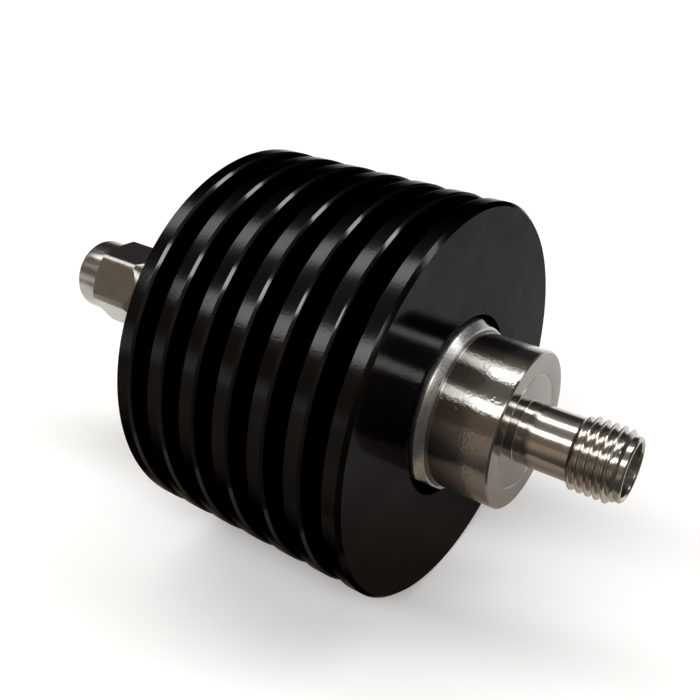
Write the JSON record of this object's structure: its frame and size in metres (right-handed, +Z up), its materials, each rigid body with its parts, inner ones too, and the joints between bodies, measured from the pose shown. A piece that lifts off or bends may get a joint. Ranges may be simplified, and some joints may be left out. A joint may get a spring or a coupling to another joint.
{
  "type": "coaxial rf attenuator",
  "caption": "Coaxial fixed attenuator with a round finned heat sink on a plated sleeve, a threaded jack at the front and a plug with a captive hexagonal coupling nut at the back.",
  "frame": {"origin": "centre of the jack's mating plane, below the jack's rim", "axes": "+X along the axis, out of the jack; +Z up, square to the axis"},
  "size_m": [0.0605, 0.0356, 0.0356],
  "materials": {
    "black_anodised": "satin black anodised, fine turned",
    "nickel_plate": "bright nickel plate on brass",
    "bright_steel": "bright turned steel",
    "gold_plate": "gold plate",
    "white_insulator": "machined fluoropolymer",
    "silicone": "soft matt",
    "alumina": "fired ceramic with a resistive film",
    "silver_plate": "silver plate on brass"
  },
  "bodies": {
    "body": {"heat_sink": "black_anodised", "body_sleeve": "nickel_plate", "sink_lock_ring": "bright_steel", "jack_shell": "nickel_plate", "jack_insulator": "white_insulator", "jack_contact": "gold_plate", "plug_shell": "nickel_plate", "plug_insulator": "white_insulator", "plug_pin": "gold_plate", "plug_gasket": "silicone", "nut_snap_ring": "bright_steel", "attenuator_chip": "alumina", "carrier_upper": "silver_plate", "carrier_lower": "silver_plate", "jack_tab": "gold_plate", "plug_tab": "gold_plate"},
    "nut": {"coupling_nut": "nickel_plate"}
  },
  "joints": [
    {"name": "nut_spin", "type": "hinge", "parent": "body", "child": "nut", "pos_m": [-0.0516, 0, 0], "axis": [-1, 0, 0], "continuous": true}
  ]
}
